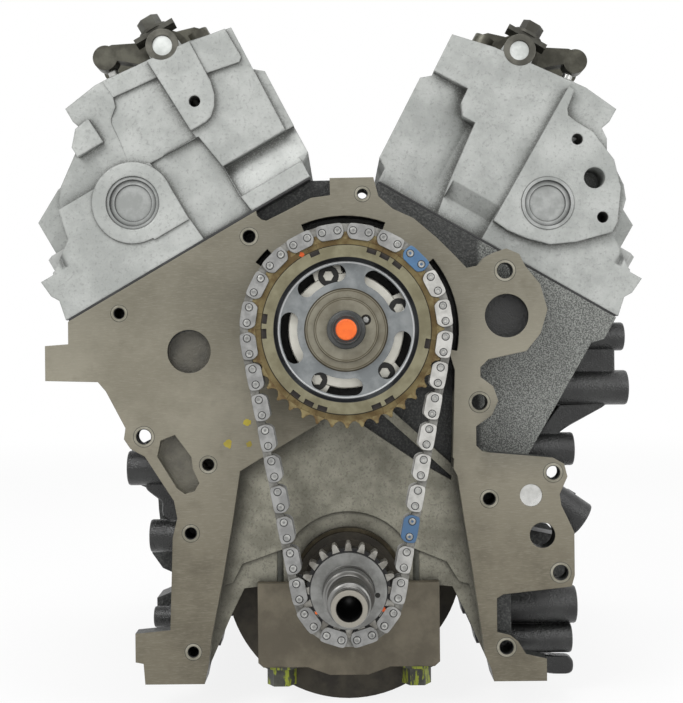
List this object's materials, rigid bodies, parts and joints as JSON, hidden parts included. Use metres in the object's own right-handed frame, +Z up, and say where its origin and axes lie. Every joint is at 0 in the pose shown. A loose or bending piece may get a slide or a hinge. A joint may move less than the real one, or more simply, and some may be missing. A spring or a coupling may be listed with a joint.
{
  "type": "long block engine",
  "caption": "Pushrod vee long block: iron cylinder block, two aluminium heads, crank train, valve gear and timing chain.",
  "frame": {"origin": "crank axis at the rear face of the crankshaft flange", "axes": "+Z up, +Y from the timing chain end to the flywheel end along the crank, +X to the right seen from the timing chain end"},
  "size_m": [0.3954, 0.474, 0.4437],
  "materials": {
    "iron_black": "semi-gloss black paint over cast iron",
    "cap_iron": "machined and cast grey iron",
    "dark_bolt": "phosphated steel",
    "bright_steel": "ground steel",
    "bronze": "bearing bronze",
    "head_alloy": "silver painted cast aluminium",
    "plug_steel": "pressed zinc plated steel",
    "gasket": "composite gasket",
    "spring_steel": "oil tempered spring wire",
    "chain_steel": "punched steel link plates",
    "sprocket_steel": "hardened steel with a straw tint",
    "crank_iron": "cast and ground nodular iron",
    "alloy_bare": "machined aluminium",
    "bolt_orange": "orange paint mark on a steel bolt"
  },
  "bodies": {
    "engine_block": {"cylinder_block": "iron_black", "main_bearing_caps": "cap_iron", "main_cap_bolts": "dark_bolt", "engine_bearings": "bronze", "left_cylinder_head": "head_alloy", "right_cylinder_head": "head_alloy", "head_gaskets": "gasket", "head_bolts": "dark_bolt", "core_plugs": "plug_steel", "rocker_shafts": "bright_steel", "rocker_shaft_bolts": "dark_bolt", "valve_springs": "spring_steel", "lifters": "bright_steel", "pushrods": "bright_steel", "cam_thrust_plate": "dark_bolt", "timing_chain": "chain_steel", "front_dowel_pins": "bright_steel", "rear_seal_housing": "alloy_bare", "valve_guides_and_seats": "bronze"},
    "crank_assembly": {"crankshaft": "crank_iron", "crank_sprocket": "sprocket_steel"},
    "cam_assembly": {"camshaft": "crank_iron", "cam_sprocket": "sprocket_steel", "cam_sprocket_bolt": "bolt_orange"},
    "rod_1": {"connecting_rod_1": "crank_iron"},
    "piston_body_1": {"piston_1": "alloy_bare"},
    "rod_2": {"connecting_rod_2": "crank_iron"},
    "piston_body_2": {"piston_2": "alloy_bare"},
    "rod_3": {"connecting_rod_3": "crank_iron"},
    "piston_body_3": {"piston_3": "alloy_bare"},
    "rod_4": {"connecting_rod_4": "crank_iron"},
    "piston_body_4": {"piston_4": "alloy_bare"},
    "rod_5": {"connecting_rod_5": "crank_iron"},
    "piston_body_5": {"piston_5": "alloy_bare"},
    "rod_6": {"connecting_rod_6": "crank_iron"},
    "piston_body_6": {"piston_6": "alloy_bare"},
    "rocker_1": {"rocker_arm_1": "dark_bolt"},
    "valve_body_1": {"valve_1": "bright_steel"},
    "rocker_2": {"rocker_arm_2": "dark_bolt"},
    "valve_body_2": {"valve_2": "bright_steel"},
    "rocker_3": {"rocker_arm_3": "dark_bolt"},
    "valve_body_3": {"valve_3": "bright_steel"},
    "rocker_4": {"rocker_arm_4": "dark_bolt"},
    "valve_body_4": {"valve_4": "bright_steel"},
    "rocker_5": {"rocker_arm_5": "dark_bolt"},
    "valve_body_5": {"valve_5": "bright_steel"},
    "rocker_6": {"rocker_arm_6": "dark_bolt"},
    "valve_body_6": {"valve_6": "bright_steel"},
    "rocker_7": {"rocker_arm_7": "dark_bolt"},
    "valve_body_7": {"valve_7": "bright_steel"},
    "rocker_8": {"rocker_arm_8": "dark_bolt"},
    "valve_body_8": {"valve_8": "bright_steel"},
    "rocker_9": {"rocker_arm_9": "dark_bolt"},
    "valve_body_9": {"valve_9": "bright_steel"},
    "rocker_10": {"rocker_arm_10": "dark_bolt"},
    "valve_body_10": {"valve_10": "bright_steel"},
    "rocker_11": {"rocker_arm_11": "dark_bolt"},
    "valve_body_11": {"valve_11": "bright_steel"},
    "rocker_12": {"rocker_arm_12": "dark_bolt"},
    "valve_body_12": {"valve_12": "bright_steel"}
  },
  "joints": [
    {"name": "crank_spin", "type": "hinge", "parent": "engine_block", "child": "crank_assembly", "pos_m": [0, -0.266, 0], "axis": [0, 1, 0], "range_deg": [-18, 18], "deforming": ["timing_chain"]},
    {"name": "cam_spin", "type": "hinge", "parent": "engine_block", "child": "cam_assembly", "pos_m": [0, -0.266, 0.159], "axis": [0, 1, 0], "range_deg": [-9, 9]},
    {"name": "rod_pivot_1", "type": "hinge", "parent": "crank_assembly", "child": "rod_1", "pos_m": [0.01838, -0.332, 0.03942], "axis": [0, 1, 0], "range_deg": [-22, 22]},
    {"name": "piston_slide_1", "type": "slide", "parent": "engine_block", "child": "piston_body_1", "axis": [-0.5, 0, 0.866], "range_m": [-0.0131, 0.0131]},
    {"name": "rod_pivot_2", "type": "hinge", "parent": "crank_assembly", "child": "rod_2", "pos_m": [-0.02495, -0.308, 0.03563], "axis": [0, 1, 0], "range_deg": [-21, 21]},
    {"name": "piston_slide_2", "type": "slide", "parent": "engine_block", "child": "piston_body_2", "axis": [0.5, 0, 0.866], "range_m": [-0.01395, 0.01395]},
    {"name": "rod_pivot_3", "type": "hinge", "parent": "crank_assembly", "child": "rod_3", "pos_m": [0.02495, -0.224, -0.03563], "axis": [0, 1, 0], "range_deg": [-14, 14]},
    {"name": "piston_slide_3", "type": "slide", "parent": "engine_block", "child": "piston_body_3", "axis": [-0.5, 0, 0.866], "range_m": [-0.00115, 0.00115]},
    {"name": "rod_pivot_4", "type": "hinge", "parent": "crank_assembly", "child": "rod_4", "pos_m": [0.04333, -0.2, 0.00379], "axis": [0, 1, 0], "range_deg": [-22, 22]},
    {"name": "piston_slide_4", "type": "slide", "parent": "engine_block", "child": "piston_body_4", "axis": [0.5, 0, 0.866], "range_m": [-0.0131, 0.0131]},
    {"name": "rod_pivot_5", "type": "hinge", "parent": "crank_assembly", "child": "rod_5", "pos_m": [-0.04333, -0.116, -0.00379], "axis": [0, 1, 0], "range_deg": [-21, 21]},
    {"name": "piston_slide_5", "type": "slide", "parent": "engine_block", "child": "piston_body_5", "axis": [-0.5, 0, 0.866], "range_m": [-0.01395, 0.01395]},
    {"name": "rod_pivot_6", "type": "hinge", "parent": "crank_assembly", "child": "rod_6", "pos_m": [-0.01838, -0.092, -0.03942], "axis": [0, 1, 0], "range_deg": [-14, 14]},
    {"name": "piston_slide_6", "type": "slide", "parent": "engine_block", "child": "piston_body_6", "axis": [0.5, 0, 0.866], "range_m": [-0.00115, 0.00115]},
    {"name": "rocker_pivot_1", "type": "hinge", "parent": "engine_block", "child": "rocker_1", "pos_m": [-0.11401, -0.353, 0.33948], "axis": [0, -1, 0], "range_deg": [0, 16.28], "stiffness_Nm_per_rad": 8, "deforming": ["valve_springs"]},
    {"name": "valve_slide_1", "type": "slide", "parent": "engine_block", "child": "valve_body_1", "axis": [0.3584, 0, -0.9336], "range_m": [0, 0.01144]},
    {"name": "rocker_pivot_2", "type": "hinge", "parent": "engine_block", "child": "rocker_2", "pos_m": [-0.11401, -0.311, 0.33948], "axis": [0, -1, 0], "range_deg": [0, 16.28], "stiffness_Nm_per_rad": 8},
    {"name": "valve_slide_2", "type": "slide", "parent": "engine_block", "child": "valve_body_2", "axis": [0.3584, 0, -0.9336], "range_m": [0, 0.01144]},
    {"name": "rocker_pivot_3", "type": "hinge", "parent": "engine_block", "child": "rocker_3", "pos_m": [0.11401, -0.287, 0.33948], "axis": [0, 1, 0], "range_deg": [0, 16.28], "stiffness_Nm_per_rad": 8},
    {"name": "valve_slide_3", "type": "slide", "parent": "engine_block", "child": "valve_body_3", "axis": [-0.3584, 0, -0.9336], "range_m": [0, 0.01144]},
    {"name": "rocker_pivot_4", "type": "hinge", "parent": "engine_block", "child": "rocker_4", "pos_m": [0.11401, -0.329, 0.33948], "axis": [0, 1, 0], "range_deg": [0, 16.28], "stiffness_Nm_per_rad": 8},
    {"name": "valve_slide_4", "type": "slide", "parent": "engine_block", "child": "valve_body_4", "axis": [-0.3584, 0, -0.9336], "range_m": [0, 0.01144]},
    {"name": "rocker_pivot_5", "type": "hinge", "parent": "engine_block", "child": "rocker_5", "pos_m": [-0.11401, -0.245, 0.33948], "axis": [0, -1, 0], "range_deg": [0, 16.28], "stiffness_Nm_per_rad": 8},
    {"name": "valve_slide_5", "type": "slide", "parent": "engine_block", "child": "valve_body_5", "axis": [0.3584, 0, -0.9336], "range_m": [0, 0.01144]},
    {"name": "rocker_pivot_6", "type": "hinge", "parent": "engine_block", "child": "rocker_6", "pos_m": [-0.11401, -0.203, 0.33948], "axis": [0, -1, 0], "range_deg": [0, 3.86], "stiffness_Nm_per_rad": 8},
    {"name": "valve_slide_6", "type": "slide", "parent": "engine_block", "child": "valve_body_6", "axis": [0.3584, 0, -0.9336], "range_m": [0, 0.00284]},
    {"name": "rocker_pivot_7", "type": "hinge", "parent": "engine_block", "child": "rocker_7", "pos_m": [0.11401, -0.179, 0.33948], "axis": [0, 1, 0], "range_deg": [0, 16.28], "stiffness_Nm_per_rad": 8},
    {"name": "valve_slide_7", "type": "slide", "parent": "engine_block", "child": "valve_body_7", "axis": [-0.3584, 0, -0.9336], "range_m": [0, 0.01144]},
    {"name": "rocker_pivot_8", "type": "hinge", "parent": "engine_block", "child": "rocker_8", "pos_m": [0.11401, -0.221, 0.33948], "axis": [0, 1, 0], "range_deg": [0, 2.49], "stiffness_Nm_per_rad": 8},
    {"name": "valve_slide_8", "type": "slide", "parent": "engine_block", "child": "valve_body_8", "axis": [-0.3584, 0, -0.9336], "range_m": [0, 0.00187]},
    {"name": "rocker_pivot_9", "type": "hinge", "parent": "engine_block", "child": "rocker_9", "pos_m": [-0.11401, -0.137, 0.33948], "axis": [0, -1, 0], "range_deg": [0, 1.34], "stiffness_Nm_per_rad": 8},
    {"name": "valve_slide_9", "type": "slide", "parent": "engine_block", "child": "valve_body_9", "axis": [0.3584, 0, -0.9336], "range_m": [0, 0.00105]},
    {"name": "rocker_pivot_10", "type": "hinge", "parent": "engine_block", "child": "rocker_10", "pos_m": [-0.11401, -0.095, 0.33948], "axis": [0, -1, 0], "range_deg": [0, 16.28], "stiffness_Nm_per_rad": 8},
    {"name": "valve_slide_10", "type": "slide", "parent": "engine_block", "child": "valve_body_10", "axis": [0.3584, 0, -0.9336], "range_m": [0, 0.01144]},
    {"name": "rocker_pivot_11", "type": "hinge", "parent": "engine_block", "child": "rocker_11", "pos_m": [0.11401, -0.071, 0.33948], "axis": [0, 1, 0], "range_deg": [0, 5.5], "stiffness_Nm_per_rad": 8},
    {"name": "valve_slide_11", "type": "slide", "parent": "engine_block", "child": "valve_body_11", "axis": [-0.3584, 0, -0.9336], "range_m": [0, 0.00399]},
    {"name": "rocker_pivot_12", "type": "hinge", "parent": "engine_block", "child": "rocker_12", "pos_m": [0.11401, -0.113, 0.33948], "axis": [0, 1, 0], "range_deg": [0, 16.28], "stiffness_Nm_per_rad": 8},
    {"name": "valve_slide_12", "type": "slide", "parent": "engine_block", "child": "valve_body_12", "axis": [-0.3584, 0, -0.9336], "range_m": [0, 0.01144]}
  ],
  "couplings": [
    {"joint": "cam_spin", "follows": "crank_spin", "ratio": 0.5},
    {"joint": "rod_pivot_1", "follows": "crank_spin", "ratio": -1.168},
    {"joint": "piston_slide_1", "follows": "crank_spin", "m_per_rad": -0.04075},
    {"joint": "rod_pivot_2", "follows": "crank_spin", "ratio": -1.1245},
    {"joint": "piston_slide_2", "follows": "crank_spin", "m_per_rad": 0.043451},
    {"joint": "rod_pivot_3", "follows": "crank_spin", "ratio": -0.71537},
    {"joint": "piston_slide_3", "follows": "crank_spin", "m_per_rad": -0.0027002},
    {"joint": "rod_pivot_4", "follows": "crank_spin", "ratio": -1.168},
    {"joint": "piston_slide_4", "follows": "crank_spin", "m_per_rad": -0.04075},
    {"joint": "rod_pivot_5", "follows": "crank_spin", "ratio": -1.1245},
    {"joint": "piston_slide_5", "follows": "crank_spin", "m_per_rad": 0.043451},
    {"joint": "rod_pivot_6", "follows": "crank_spin", "ratio": -0.71537},
    {"joint": "piston_slide_6", "follows": "crank_spin", "m_per_rad": -0.0027002},
    {"joint": "valve_slide_1", "follows": "rocker_pivot_1", "m_per_rad": 0.039903},
    {"joint": "valve_slide_2", "follows": "rocker_pivot_2", "m_per_rad": 0.039903},
    {"joint": "valve_slide_3", "follows": "rocker_pivot_3", "m_per_rad": 0.039903},
    {"joint": "valve_slide_4", "follows": "rocker_pivot_4", "m_per_rad": 0.039903},
    {"joint": "valve_slide_5", "follows": "rocker_pivot_5", "m_per_rad": 0.039903},
    {"joint": "valve_slide_6", "follows": "rocker_pivot_6", "m_per_rad": 0.040617},
    {"joint": "valve_slide_7", "follows": "rocker_pivot_7", "m_per_rad": 0.039903},
    {"joint": "valve_slide_8", "follows": "rocker_pivot_8", "m_per_rad": 0.040657},
    {"joint": "valve_slide_9", "follows": "rocker_pivot_9", "m_per_rad": 0.040685},
    {"joint": "valve_slide_10", "follows": "rocker_pivot_10", "m_per_rad": 0.039903},
    {"joint": "valve_slide_11", "follows": "rocker_pivot_11", "m_per_rad": 0.040559},
    {"joint": "valve_slide_12", "follows": "rocker_pivot_12", "m_per_rad": 0.039903}
  ]
}
